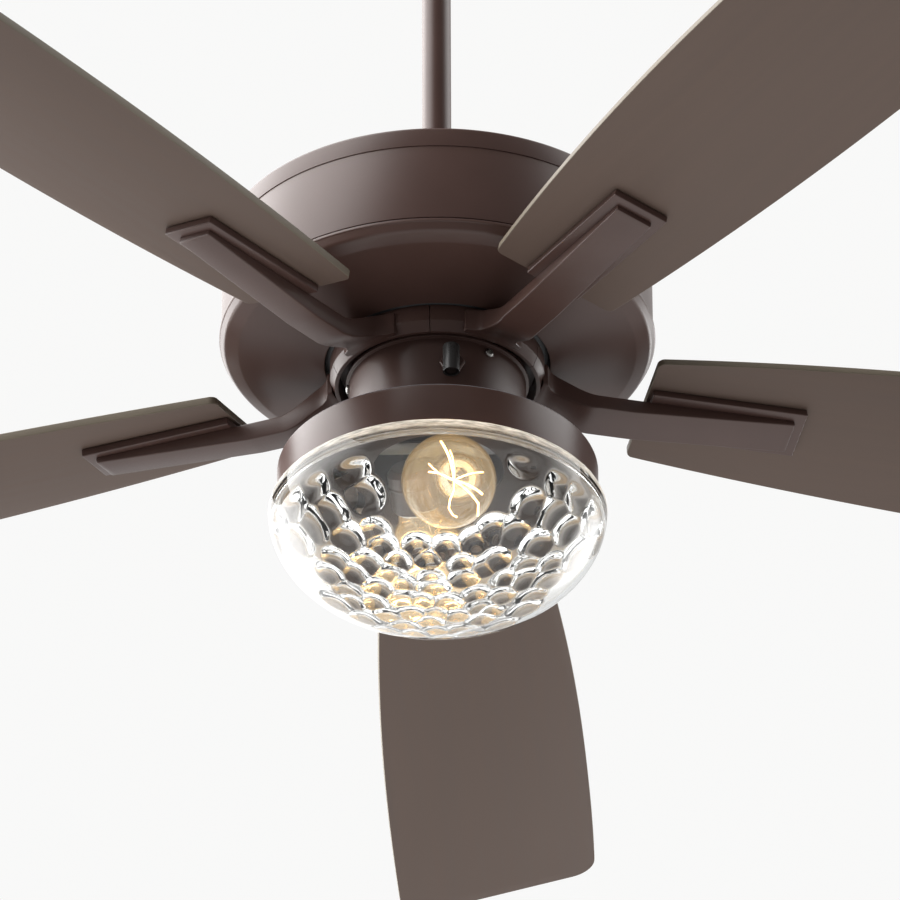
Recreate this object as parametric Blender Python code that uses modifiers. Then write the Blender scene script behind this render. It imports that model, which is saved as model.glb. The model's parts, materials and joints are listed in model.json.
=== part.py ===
"""Ceiling fan with a light: five pitched blades on cast irons under a drum motor housing, hung on a short
downrod, with a switch housing, a lamp pan and a hammered glass bowl below.

Metres, +Z up. The origin is the centre of the face that meets the ceiling. Everything that hangs is placed
under empties on the joints' axes: the hanger ball's centre, and the fan's axis at the blades' underside.
"""

import math

import bmesh
import bpy
from mathutils import Matrix, Vector

MM = 0.001

# Layout
BLADE_PLANE = -451 * MM          # blades' underside at the axis, below the ceiling
BALL_CENTRE = -45 * MM
BLADES = 5
BLADE_PHASE = math.radians(14.0)
PITCH = math.radians(-11.2)

# Facets
LARGE, BALL_FACETS, MEDIUM, SMALL = 36, 24, 20, 14
GAP = 0.3 * MM

# Hanger
ROD_R, ROD_BORE_R, ROD_LENGTH = 9.525 * MM, 7.9 * MM, 305 * MM
ROD_BOTTOM = 121.3 * MM          # above the blade plane
BALL_R, SEAT_WALL, SEAT_CLEARANCE = 24 * MM, 1.8 * MM, 0.5 * MM
BALL_PIN_R, COUPLING_PIN_R, PIN_CLEARANCE = 2.5 * MM, 3 * MM, 0.3 * MM
COUPLING_PIN_Z = 138 * MM

# Blades
TIP_R, ROOT_R, BLADE_T = 660.4 * MM, 136.5 * MM, 5 * MM
LOW_EDGE = (44.7 * MM, 73.3 * MM, 0.93)     # half width at the root, at the widest, and where that is
HIGH_EDGE = (42.5 * MM, 68.3 * MM, 0.72)
EDGE_POWER = 2.25
TIP_SKEW, ROOT_CORNER, TIP_CORNER = 0.0636, 5 * MM, 18 * MM

# Blade irons
PAD_END, PAD_HALF, PAD_T = 241.5 * MM, 19.5 * MM, 4.5 * MM
ARM_END, ARM_HALF, ARM_FILLET = 234.5 * MM, 12.8 * MM, 8 * MM
RING_OUT, RING_IN, RING_TOP, RING_BOTTOM = 69 * MM, 63.4 * MM, 14 * MM, -4.5 * MM
RING_SEGMENT = math.radians(360 / BLADES) - 0.5 * MM / (69 * MM)

# Switch housing and pull
SWITCH_R, SHEET = 57 * MM, 1.2 * MM
PULL_X, PULL_Z, PULL_HEADING = 13.7 * MM, -24 * MM, math.radians(-4)
GUIDE_DISTANCE, GUIDE_R, GUIDE_BORE_R = 69.7, 5.4 * MM, 4.4 * MM
SCREW_AZIMUTHS = [math.radians(a) for a in (35, 155, -85)]
SCREW_Z = -8.6 * MM

# Lamp kit
PAN_R, PAN_TOP, PAN_BOTTOM = 102.5 * MM, -66.7 * MM, -94.6 * MM
BOWL_R, BOWL_DEPTH, BOWL_CENTRE, BOWL_WALL = 108 * MM, 68.7 * MM, -99 * MM, 5 * MM
NECK_R, NECK_TOP = 99 * MM, -86 * MM
LAMP_TIP, LAMP_CENTRE, LAMP_R = (17 * MM, 1 * MM, -71 * MM), (7 * MM, -50 * MM, -107 * MM), 30 * MM
TWIST_TABS = 3


def clear_scene():
    for old in list(bpy.data.objects):
        bpy.data.objects.remove(old, do_unlink=True)


clear_scene()
FAN = bpy.data.collections.new("ceiling_fan_with_light")
CUTTERS = bpy.data.collections.new("cutters")
for group in (FAN, CUTTERS):
    bpy.context.scene.collection.children.link(group)


def material(name, colour, roughness, metallic=0.0, alpha=1.0):
    made = bpy.data.materials.new(name)
    made.use_nodes = True
    shader = made.node_tree.nodes["Principled BSDF"]
    shader.inputs["Base Color"].default_value = (*colour, 1.0)
    shader.inputs["Roughness"].default_value = roughness
    shader.inputs["Metallic"].default_value = metallic
    shader.inputs["Alpha"].default_value = alpha
    return made


BRONZE = material("bronze_paint", (0.088, 0.050, 0.042), 0.38)
BLADE_FINISH = material("blade_laminate", (0.125, 0.086, 0.070), 0.55)
STEEL = material("plated_steel", (0.62, 0.61, 0.59), 0.28, 1.0)
DARK_STEEL = material("dark_steel", (0.18, 0.18, 0.19), 0.4, 1.0)
COPPER = material("copper_winding", (0.72, 0.35, 0.18), 0.35, 1.0)
ALUMINIUM = material("rotor_aluminium", (0.045, 0.045, 0.048), 0.55)
BLACK = material("black_plastic", (0.02, 0.02, 0.022), 0.25)
BROWN = material("lamp_holder_plastic", (0.060, 0.040, 0.030), 0.4)
CLEAR = material("clear_glass", (0.95, 0.97, 0.97), 0.03, 0.0, 0.35)


def empty(name, place, parent=None):
    axis = bpy.data.objects.new(name, None)
    axis.location = place
    axis.parent = parent
    FAN.objects.link(axis)
    return axis


HUNG = empty("hanger_ball_centre", (0, 0, BALL_CENTRE))
FAN_AXIS = empty("fan_axis", (0, 0, BLADE_PLANE - BALL_CENTRE), HUNG)


def place(obj, look, parent=None, group=FAN):
    """Puts an object in its collection, with its material and parent."""
    group.objects.link(obj)
    obj.parent = parent
    if look:
        obj.data.materials.clear()
        obj.data.materials.append(look)
    if group is CUTTERS:
        obj.hide_render = True
        obj.display_type = "WIRE"
    return obj


def smooth(obj):
    obj.data.shade_smooth()
    obj.data.set_sharp_from_angle(angle=math.radians(35))


def turned(name, profile, look, parent=FAN_AXIS, facets=LARGE, group=FAN, closed=True):
    """A solid of revolution about Z from (radius, height) points: out along the top, down the outside, and
    back. A closed profile is a ring; an open one starts and ends on the axis."""
    mesh = bpy.data.meshes.new(name)
    edges = [(i, i + 1) for i in range(len(profile) - 1)]
    if closed:
        edges.append((len(profile) - 1, 0))
    mesh.from_pydata([(r, 0, z) for r, z in profile], edges, [])
    obj = place(bpy.data.objects.new(name, mesh), look, parent, group)
    screw = obj.modifiers.new("turn", "SCREW")
    screw.steps = facets
    screw.render_steps = facets
    screw.use_merge_vertices = True
    screw.merge_threshold = 0.00001
    screw.use_smooth_shade = True
    return obj


def millimetres(*points):
    return [(r * MM, z * MM) for r, z in points]


def arc(centre_r, centre_z, radius_r, radius_z, start, end, steps):
    """Points on an ellipse's arc, from start to end in degrees, 0 outwards and 90 up."""
    angles = [math.radians(start + (end - start) * i / steps) for i in range(steps + 1)]
    return [(centre_r + radius_r * math.cos(a), centre_z + radius_z * math.sin(a)) for a in angles]


def box(name, low, high, look=None, parent=FAN_AXIS, group=FAN, turn=None):
    """A box between two corners in the parent's frame, optionally turned by a matrix about its origin."""
    mesh = bpy.data.meshes.new(name)
    form = bmesh.new()
    size = Vector(high) - Vector(low)
    centre = (Vector(high) + Vector(low)) / 2
    bmesh.ops.create_cube(form, size=1.0, matrix=Matrix.Translation(centre) @ Matrix.Diagonal((*size, 1.0)))
    if turn:
        bmesh.ops.transform(form, matrix=turn, verts=form.verts)
    form.to_mesh(mesh)
    form.free()
    return place(bpy.data.objects.new(name, mesh), look, parent, group)


def rod(name, start, end, radius, look=None, parent=FAN_AXIS, group=FAN, facets=SMALL, end_radius=None):
    """A round bar, cone or prism between two points in the parent's frame."""
    start, end = Vector(start), Vector(end)
    along = end - start
    mesh = bpy.data.meshes.new(name)
    form = bmesh.new()
    turn = along.to_track_quat("Z", "Y").to_matrix().to_4x4()
    bmesh.ops.create_cone(
        form,
        cap_ends=True,
        segments=facets,
        radius1=radius,
        radius2=radius if end_radius is None else end_radius,
        depth=along.length,
        matrix=Matrix.Translation((start + end) / 2) @ turn,
    )
    form.to_mesh(mesh)
    form.free()
    bar = place(bpy.data.objects.new(name, mesh), look, parent, group)
    smooth(bar)
    return bar


def boolean(obj, other, operation="DIFFERENCE"):
    step = obj.modifiers.new(other.name, "BOOLEAN")
    step.operation = operation
    step.object = other
    step.solver = "EXACT"


def polar(radius, azimuth, z):
    """A point at an azimuth counted from -Y towards +X."""
    return Vector((radius * math.sin(azimuth), -radius * math.cos(azimuth), z))


def outline(name, points, half_thickness, look, parent=FAN_AXIS, group=FAN, turn=None):
    """A flat plate from a closed outline in XY, centred on its own plane."""
    curve = bpy.data.curves.new(name, "CURVE")
    curve.dimensions = "2D"
    curve.fill_mode = "BOTH"
    curve.extrude = half_thickness
    spline = curve.splines.new("POLY")
    spline.points.add(len(points) - 1)
    for point, (x, y) in zip(spline.points, points):
        point.co = (x, y, 0, 1)
    spline.use_cyclic_u = True
    drawn = bpy.data.objects.new(name + "_outline", curve)
    FAN.objects.link(drawn)
    evaluated = drawn.evaluated_get(bpy.context.evaluated_depsgraph_get())
    mesh = bpy.data.meshes.new_from_object(evaluated)
    bpy.data.objects.remove(drawn, do_unlink=True)
    mesh.name = name
    form = bmesh.new()
    form.from_mesh(mesh)
    bmesh.ops.remove_doubles(form, verts=form.verts, dist=0.00001)
    bmesh.ops.transform(form, matrix=turn or Matrix(), verts=form.verts)
    bmesh.ops.recalc_face_normals(form, faces=form.faces)
    form.to_mesh(mesh)
    form.free()
    return place(bpy.data.objects.new(name, mesh), look, parent, group)


def ceiling_hanger():
    """The bracket that is screwed to the ceiling box, and the canopy that hides it."""
    depth, half, wall, width = 62 * MM, 33 * MM, 2.5 * MM, 28 * MM
    strap = box("ceiling_bracket", (-half, -width / 2, -depth), (half, width / 2, 0), STEEL, None)
    inside = box(
        "strap_inside", (wall - half, -width, wall - depth), (half - wall, width, -wall), None, None, CUTTERS
    )
    boolean(strap, inside)
    plate = box("bracket_plate", (-64 * MM, -20 * MM, -wall), (64 * MM, 20 * MM, 0), None, None, CUTTERS)
    boolean(strap, plate, "UNION")
    for side in (-1, 1):
        low, high = sorted((side * 62 * MM, side * 64 * MM))
        tab = box(
            f"canopy_tab_{side}", (low, -8 * MM, -16 * MM), (high, 8 * MM, -1 * MM), None, None, CUTTERS
        )
        boolean(strap, tab, "UNION")
    cup_top, cup_r = -51 * MM, 29.5 * MM
    cup = rod("ball_cup", (0, 0, -depth), (0, 0, cup_top), cup_r, None, None, CUTTERS, MEDIUM)
    boolean(strap, cup, "UNION")
    seat_r = BALL_R + SEAT_WALL + 2.8 * SEAT_CLEARANCE
    ball = turned(
        "ball_clearance",
        arc(0, BALL_CENTRE, seat_r, seat_r, 90, -90, 16),
        None, None, BALL_FACETS, CUTTERS, closed=False,
    )
    boolean(strap, ball)
    loading_slot = box(
        "loading_slot", (-12.5 * MM, 0, -70 * MM), (12.5 * MM, 40 * MM, -56 * MM), None, None, CUTTERS
    )
    boolean(strap, loading_slot)
    for side in (-1, 1):
        hole = rod(
            f"box_screw_hole_{side}", (side * 44.5 * MM, 0, -6 * MM), (side * 44.5 * MM, 0, 4 * MM), 2.8 * MM,
            None, None, CUTTERS,
        )
        boolean(strap, hole)

    dome = arc(30 * MM, -18 * MM, 40 * MM, 52 * MM, 0, -90, 5)
    lining = arc(30 * MM, -18 * MM, 40 * MM - SHEET, 52 * MM - SHEET, -90, 0, 5)
    profile = millimetres((70, -0.4)) + dome + millimetres((18, -71), (18, -69.8)) + lining
    profile += [(70 * MM - SHEET, -0.4 * MM)]
    canopy = turned("canopy", profile, BRONZE, None)
    for side, number in ((-1, 1), (1, 2)):
        shank = (side * 60 * MM, 0, -9 * MM), (side * 70.4 * MM, 0, -9 * MM)
        hole = rod(
            f"canopy_screw_hole_{number}", (side * 58 * MM, 0, -9 * MM), (side * 74 * MM, 0, -9 * MM),
            2.5 * MM, None, None, CUTTERS, 12,
        )
        boolean(strap, hole)
        boolean(canopy, hole)
        screw = rod(
            f"canopy_screw_{number}", shank[0], (side * 71 * MM, 0, -9 * MM), 2 * MM, STEEL, None, facets=12
        )
        head = rod(
            f"canopy_screw_head_{number}", shank[1], (side * 72.6 * MM, 0, -9 * MM), 4.2 * MM,
            None, None, CUTTERS, SMALL, 3 * MM,
        )
        boolean(screw, head, "UNION")


def hanging_stem():
    """The ball, its seat, the downrod, and the coupling that carries the motor's shaft."""
    inner, outer = BALL_R + SEAT_CLEARANCE, BALL_R + SEAT_CLEARANCE + SEAT_WALL
    turned(
        "hanger_seat",
        arc(0, 0, outer, outer, -12, -48, 4) + arc(0, 0, inner, inner, -48, -12, 4),
        BLACK, HUNG, BALL_FACETS,
    )
    bore = ROD_R + GAP
    top = 10 * MM
    start = math.degrees(math.asin(top / BALL_R))
    end = -math.degrees(math.acos(bore / BALL_R))
    ball = turned(
        "hanger_ball", [(bore, top)] + arc(0, 0, BALL_R, BALL_R, start, end, 7), DARK_STEEL, HUNG, BALL_FACETS
    )
    tube = turned(
        "downrod",
        [
            (ROD_BORE_R, ROD_BOTTOM + ROD_LENGTH),
            (ROD_R, ROD_BOTTOM + ROD_LENGTH),
            (ROD_R, ROD_BOTTOM),
            (ROD_BORE_R, ROD_BOTTOM),
        ],
        BRONZE, FAN_AXIS, SMALL,
    )
    ball_z = BALL_CENTRE - BLADE_PLANE
    ball_hole = rod(
        "ball_pin_hole", (-30 * MM, 0, ball_z), (30 * MM, 0, ball_z), BALL_PIN_R + PIN_CLEARANCE,
        None, FAN_AXIS, CUTTERS, 12,
    )
    boolean(ball, ball_hole)
    boolean(tube, ball_hole)
    rod("ball_pin", (-22 * MM, 0, ball_z), (22 * MM, 0, ball_z), BALL_PIN_R, STEEL, facets=12)
    coupling = turned(
        "coupling",
        millimetres(
            (9.9, 151), (15.5, 151), (15.5, 110.5), (21, 110.5), (21, 104), (8.8, 104), (8.8, 121),
            (9.9, 121),
        ),
        DARK_STEEL, FAN_AXIS, MEDIUM,
    )
    pin_hole = rod(
        "coupling_pin_hole", (-30 * MM, 0, COUPLING_PIN_Z), (30 * MM, 0, COUPLING_PIN_Z),
        COUPLING_PIN_R + PIN_CLEARANCE, None, FAN_AXIS, CUTTERS, 12,
    )
    boolean(coupling, pin_hole)
    boolean(tube, pin_hole)
    rod(
        "coupling_pin", (-19 * MM, 0, COUPLING_PIN_Z), (19 * MM, 0, COUPLING_PIN_Z), COUPLING_PIN_R, STEEL,
        facets=12,
    )
    outside = millimetres((10.6, 162)) + arc(15 * MM, 128 * MM, 21 * MM, 34 * MM, 90, 0, 4)
    inside = arc(15 * MM, 128 * MM, 21 * MM - SHEET, 34 * MM - SHEET, 0, 90, 4)
    inside += [(10.6 * MM, 162 * MM - SHEET)]
    profile = outside + millimetres((36, 113.4)) + [(36 * MM - SHEET, 113.4 * MM)] + inside
    turned("coupling_cover", profile, BRONZE, facets=MEDIUM)


def motor_housing():
    """The drum: a domed lid, a plain band and a shallow dish with the opening that the irons' ring fills."""
    turned(
        "housing_lid",
        millimetres(
            (22, 112.6), (60, 111.8), (118, 106.8), (134, 104), (138.2, 101.8), (139.5, 99), (139.5, 88.6),
            (138.3, 88.6), (138.3, 98.6), (133.6, 102.4), (118, 105.2), (60, 110.2), (22, 111),
        ),
        BRONZE,
    )
    turned("housing_band", millimetres((139, 88.3), (139, 32.8), (137.8, 32.8), (137.8, 88.3)), BRONZE)
    turned(
        "housing_dish",
        millimetres(
            (138, 32.5), (140, 32.5), (140.4, 31.2), (139.6, 28.4), (136, 24.6), (129, 22), (72.4, 12.5),
            (72.4, 14), (128.6, 23.5), (135, 25.9), (138, 29.2),
        ),
        BRONZE,
    )


def motor():
    """The motor: a fixed stator on a hollow shaft, and an outer rotor on two bearings."""
    turned("motor_shaft", millimetres((5, 120.7), (8.5, 120.7), (8.5, -17), (5, -17)), STEEL, facets=SMALL)
    turned("stator_core", millimetres((8.9, 52), (64, 52), (64, 38), (8.9, 38)), DARK_STEEL, facets=MEDIUM)
    for name, low, high in (("winding_upper", 52.3, 61), ("winding_lower", 29, 37.7)):
        turned(
            name,
            millimetres(
                (32, high - 2), (35, high), (55, high), (58, high - 2), (58, low + 2), (55, low), (35, low),
                (32, low + 2),
            ),
            COPPER, facets=MEDIUM,
        )
    for name, low, high in (("bearing_upper", 67.3, 75.3), ("bearing_lower", 15, 23)):
        turned(name, millimetres((8.8, high), (17.5, high), (17.5, low), (8.8, low)), STEEL, facets=SMALL)
    turned(
        "rotor_lower",
        millimetres(
            (17.8, 24.5), (22, 24.5), (24, 20), (64, 20), (82, 26.5), (90, 26.5), (90, 24), (83, 23.6),
            (69, 14.3), (17.8, 14.3),
        ),
        ALUMINIUM, facets=MEDIUM,
    )
    turned(
        "rotor_upper",
        millimetres(
            (17.8, 76), (24, 76), (26, 72.5), (84, 72.5), (90, 68.5), (90, 26.8), (86.5, 26.8), (86.5, 67),
            (82.5, 69.5), (22, 69.5), (17.8, 66),
        ),
        ALUMINIUM, facets=MEDIUM,
    )
    turned("rotor_cage", millimetres((65, 52), (86.0, 52), (86.0, 38), (65, 38)), DARK_STEEL, facets=MEDIUM)


def arm_height(u):
    """Top and bottom of the arm on its centre line at a distance u from the axis: it leaves the ring high,
    dips under the dish's rim and levels out, and its belly thins towards the pad's end."""
    def ease(start, end):
        t = min(max((u - start) / (end - start), 0.0), 1.0)
        return t * t * (3 - 2 * t)

    top = 11 * MM - 16 * MM * ease(64 * MM, 106 * MM)
    drop = -4.5 * MM - 11.9 * MM * ease(64 * MM, 102 * MM)
    rise = 7.4 * MM * max((u - 128 * MM) / (ARM_END - 128 * MM), 0.0)
    return top, drop + rise


def blade_iron(number, turn):
    """A cast iron: its segment of the hub's ring, the arm, and the pad under the blade."""
    form = bmesh.new()
    profile = [
        (RING_OUT, RING_TOP), (RING_OUT, 2.5 * MM), (RING_OUT - 3 * MM, RING_BOTTOM), (RING_IN, RING_BOTTOM),
        (RING_IN, RING_TOP - 4 * MM), (42 * MM, RING_TOP - 4 * MM), (42 * MM, RING_TOP),
    ]
    start = Matrix.Rotation(-RING_SEGMENT / 2, 3, "Z")
    corners = [form.verts.new(start @ Vector((r, 0, z))) for r, z in profile]
    section = form.faces.new(corners)
    bmesh.ops.spin(
        form, geom=[section], cent=(0, 0, 0), axis=(0, 0, 1), angle=RING_SEGMENT, steps=8, use_duplicate=False
    )
    bmesh.ops.recalc_face_normals(form, faces=form.faces)
    form.transform(turn)
    mesh = bpy.data.meshes.new(f"blade_iron_{number}")
    form.to_mesh(mesh)
    form.free()
    iron = place(bpy.data.objects.new(f"blade_iron_{number}", mesh), BRONZE, FAN_AXIS)

    form = bmesh.new()
    stations = [65, 68, 71, 75, 80, 86, 93, 101, 110, 128, 160, 195]
    rows = []
    for u in [s * MM for s in stations] + [ARM_END]:
        top, bottom = arm_height(u)
        out = min(max(u - RING_OUT, 0), ARM_FILLET)
        half = ARM_HALF + ARM_FILLET - math.sqrt(ARM_FILLET**2 - (ARM_FILLET - out) ** 2)
        twist = PITCH * min(max((u - 66 * MM) / (38 * MM), 0.0), 1.0)
        roll = Matrix.Rotation(twist, 3, "X")
        row = []
        for v, z in ((-half, top), (half, top), (half, bottom), (-half, bottom)):
            row.append(form.verts.new(roll @ Vector((0, v, z)) + Vector((u, 0, 0))))
        rows.append(row)
    for near, far in zip(rows, rows[1:]):
        for i in range(4):
            form.faces.new((near[i], near[(i + 1) % 4], far[(i + 1) % 4], far[i]))
    form.faces.new(rows[0])
    form.faces.new(rows[-1])
    bmesh.ops.recalc_face_normals(form, faces=form.faces)
    form.transform(turn)
    mesh = bpy.data.meshes.new(f"arm_{number}")
    form.to_mesh(mesh)
    form.free()
    arm = place(bpy.data.objects.new(f"arm_{number}", mesh), None, FAN_AXIS, CUTTERS)
    boolean(iron, arm, "UNION")
    pad = box(
        f"pad_{number}", (ROOT_R + 2 * MM, -PAD_HALF, -GAP - PAD_T - 0.5 * MM), (PAD_END, PAD_HALF, -GAP),
        None, FAN_AXIS, CUTTERS, turn @ Matrix.Rotation(PITCH, 4, "X"),
    )
    boolean(iron, pad, "UNION")


def edge_half_width(s, edge):
    root, widest, station = edge
    return widest - (widest - root) * abs(1 - s / station) ** EDGE_POWER


def round_corner(before, corner, after, radius, steps):
    """Points of the arc that rounds a corner between two neighbours."""
    before, corner, after = (Vector(p) for p in (before, corner, after))
    a = (before - corner).normalized()
    b = (after - corner).normalized()
    half = a.angle(b) / 2
    reach = radius / math.tan(half)
    centre = corner + (a + b).normalized() * radius / math.sin(half)
    start = corner + a * reach - centre
    sweep = start.angle_signed(corner + b * reach - centre)
    return [tuple(centre + Matrix.Rotation(-sweep * i / steps, 2) @ start) for i in range(steps + 1)]


def blade_outline(samples=9):
    """The blade's outline in its own plane: x out from the fan's axis, y across."""
    span = TIP_R - ROOT_R

    def edge(side, shape, stations):
        return [(ROOT_R + span * s, side * edge_half_width(s, shape)) for s in stations]

    stations = [0.03 + 0.92 * i / (samples - 1) for i in range(samples)]
    low = edge(1, LOW_EDGE, stations)
    high = edge(-1, HIGH_EDGE, stations)
    low_root, high_root = edge(1, LOW_EDGE, [0])[0], edge(-1, HIGH_EDGE, [0])[0]
    low_y, high_y = edge_half_width(1, LOW_EDGE), -edge_half_width(1, HIGH_EDGE)
    middle = (low_y + high_y) / 2
    low_tip = (TIP_R + TIP_SKEW * (low_y - middle), low_y)
    high_tip = (TIP_R + TIP_SKEW * (high_y - middle), high_y)
    points = round_corner(low[0], low_root, high_root, ROOT_CORNER, 3)
    points += round_corner(low_root, high_root, high[0], ROOT_CORNER, 3)
    points += high
    points += round_corner(high[-1], high_tip, low_tip, TIP_CORNER, 5)
    points += round_corner(high_tip, low_tip, low[-1], TIP_CORNER, 5)
    points += low[::-1]
    return points


def blades():
    points = blade_outline()
    for number in range(1, BLADES + 1):
        angle = BLADE_PHASE + 2 * math.pi * (number - 1) / BLADES
        turn = Matrix.Rotation(angle, 4, "Z")
        blade_iron(number, turn)
        pitched = turn @ Matrix.Rotation(PITCH, 4, "X") @ Matrix.Translation((0, 0, BLADE_T / 2))
        outline(f"blade_{number}", points, BLADE_T / 2, BLADE_FINISH, turn=pitched)


def pull_point(distance):
    """A point on the pull outlet's axis, at a distance along it in millimetres."""
    along = distance * MM
    return Vector((PULL_X + along * math.sin(PULL_HEADING), -along * math.cos(PULL_HEADING), PULL_Z))


def switch_housing():
    """The fixed housing below the irons, with the speed switch and its pull, and the reversing switch."""
    turned(
        "switch_plate",
        millimetres((8.8, -4), (55.3, -4), (55.3, -13), (54.1, -13), (54.1, -5.5), (8.8, -5.5)),
        DARK_STEEL,
    )
    nut = rod("shaft_nut", (0, 0, -11 * MM), (0, 0, -5.8 * MM), 15 * MM, STEEL, facets=6)
    boolean(nut, rod("shaft_nut_bore", (0, 0, -20 * MM), (0, 0, 0), 8.8 * MM, group=CUTTERS))
    shell = turned(
        "switch_housing",
        millimetres(
            (55.8, -0.8), (58.3, -0.8), (58.9, -1.6), (58.9, -2.6), (57, -3.4), (57, -66.4), (46, -66.4),
            (46, -65.2), (55.8, -65.2),
        ),
        BRONZE,
    )
    outlet = rod("pull_hole", pull_point(50), pull_point(62), 3.9 * MM, group=CUTTERS)
    boolean(shell, outlet)
    slot = box(
        "reverse_slot", (-7.5 * MM, 50 * MM, -32.5 * MM), (7.5 * MM, 62 * MM, -27.5 * MM), group=CUTTERS
    )
    boolean(shell, slot)
    for number, azimuth in enumerate(SCREW_AZIMUTHS, 1):
        tip, seat, shank_end, face = (polar(r * MM, azimuth, SCREW_Z) for r in (52.5, 57.5, 58.3, 59.3))
        hole = rod(f"housing_screw_hole_{number}", tip, face, 1.9 * MM, group=CUTTERS, facets=12)
        boolean(shell, hole)
        boolean(bpy.data.objects["switch_plate"], hole)
        screw = rod(f"housing_screw_{number}", tip, shank_end, 1.5 * MM, STEEL, facets=12)
        boolean(screw, rod(f"housing_screw_head_{number}", seat, face, 3 * MM, group=CUTTERS), "UNION")

    rod("pull_switch", pull_point(28), pull_point(46), 14 * MM, BLACK)
    rod("pull_nozzle", pull_point(46.3), pull_point(64), 3.4 * MM, STEEL)
    hexagon = rod("pull_nut", pull_point(58), pull_point(61.4), 8.2 * MM, BRONZE, facets=6)
    boolean(hexagon, rod("pull_nut_bore", pull_point(55), pull_point(63), 3.8 * MM, group=CUTTERS))
    pull_guide()

    box("reverse_switch", (-10 * MM, 44 * MM, -36 * MM), (10 * MM, 53.6 * MM, -24 * MM), BLACK)
    box("reverse_knob", (-5.5 * MM, 53.9 * MM, -31.5 * MM), (-0.5 * MM, 60 * MM, -28.5 * MM), BLACK)
    box("capacitor", (-22 * MM, 26 * MM, -46 * MM), (22 * MM, 42 * MM, -20 * MM), BLACK)


def pull_guide():
    """The black outlet that turns the pull downwards, and the spring-loaded plug that is drawn out of it."""
    axis = empty("pull_axis", pull_point(GUIDE_DISTANCE) - Vector((0, 0, PULL_Z)), FAN_AXIS)
    guide = turned(
        "pull_guide",
        [(0, -17.6 * MM), (GUIDE_R - 1.2 * MM, -17.6 * MM), (GUIDE_R - 0.3 * MM, -18 * MM)]
        + [(GUIDE_R, -18.8 * MM), (GUIDE_R, -37.7 * MM), (0, -37.7 * MM)],
        BLACK, axis, SMALL, closed=False,
    )
    boolean(guide, rod("pull_boss", pull_point(61.7), pull_point(67.5), 4.8 * MM, group=CUTTERS), "UNION")
    bore = rod("pull_bore", (0, 0, -40 * MM), (0, 0, -21 * MM), GUIDE_BORE_R, None, axis, CUTTERS)
    boolean(guide, bore)
    boolean(guide, rod("pull_throat", pull_point(58), pull_point(69), 3.7 * MM, group=CUTTERS))
    turned(
        "pull_tip",
        millimetres((0, -23.2), (2.6, -23.2), (3.4, -24), (3.4, -36.1), (2.6, -36.9), (0, -36.9)),
        BLACK, axis, SMALL, closed=False,
    )


def lamp_frame(number):
    """The axis of a lamp: its base's tip, and the direction from there to the middle of its globe."""
    half_turn = Matrix.Rotation(math.pi * (number - 1), 3, "Z")
    tip = half_turn @ Vector(LAMP_TIP)
    towards = (half_turn @ Vector(LAMP_CENTRE)) - tip
    axis = empty(f"lamp_axis_{number}", tip, FAN_AXIS)
    axis.rotation_mode = "QUATERNION"
    axis.rotation_quaternion = (-towards).to_track_quat("Z", "Y")
    return axis, towards.length


def lamp_kit():
    """The pan with its socket bridge, two lamps, and the glass bowl on its twist tabs."""
    turned(
        "lamp_pan",
        [
            (SWITCH_R - 15 * MM, PAN_TOP),
            (PAN_R - 3 * MM, PAN_TOP),
            (PAN_R - 0.7 * MM, PAN_TOP - 0.8 * MM),
            (PAN_R, PAN_TOP - 2.9 * MM),
            (PAN_R - 0.2 * MM, PAN_BOTTOM),
            (PAN_R - 0.2 * MM - SHEET, PAN_BOTTOM),
            (PAN_R - SHEET, PAN_TOP - 3.3 * MM),
            (PAN_R - 3.1 * MM, PAN_TOP - SHEET),
            (SWITCH_R - 15 * MM, PAN_TOP - SHEET),
        ],
        BRONZE,
    )
    bridge = [(53, -64.9), (46, -64.9), (46, -50.5), (-46, -50.5), (-46, -64.9), (-53, -64.9), (-53, -63.4)]
    bridge += [(-47.5, -63.4), (-47.5, -49), (47.5, -49), (47.5, -63.4), (53, -63.4)]
    outline(
        "socket_bridge", [(x * MM, z * MM) for x, z in bridge], 7 * MM, DARK_STEEL,
        turn=Matrix.Rotation(math.radians(90), 4, "X"),
    )
    for number in (1, 2):
        axis, reach = lamp_frame(number)
        turned(
            f"lamp_socket_{number}",
            millimetres((0, 6), (12, 6), (15.4, 3), (15.4, -23), (13.8, -23), (13.8, 1), (0, 1)),
            BROWN, axis, SMALL, closed=False,
        )
        turned(
            f"lamp_base_{number}",
            millimetres((0, 0), (5, 0), (7, -3), (12.6, -5), (13.1, -7), (13.1, -25), (0, -25)),
            STEEL, axis, SMALL, closed=False,
        )
        globe = -reach
        neck = 11.5 * MM
        start = 90 - math.degrees(math.asin(0.66))
        wall = 1 * MM
        outside = [(neck + wall, -25.3 * MM), (neck + 2 * wall, -31 * MM)]
        outside += arc(0, globe, LAMP_R, LAMP_R, start, -76, 7) + [(0, globe - LAMP_R)]
        inner = LAMP_R - wall
        inside = [(0, globe - inner)] + arc(0, globe, inner, inner, -76, start, 7)
        inside += [(neck + wall, -31 * MM), (neck, -25.3 * MM)]
        turned(f"lamp_glass_{number}", inside + outside, CLEAR, axis, SMALL, closed=False)
    glass_bowl()


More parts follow.
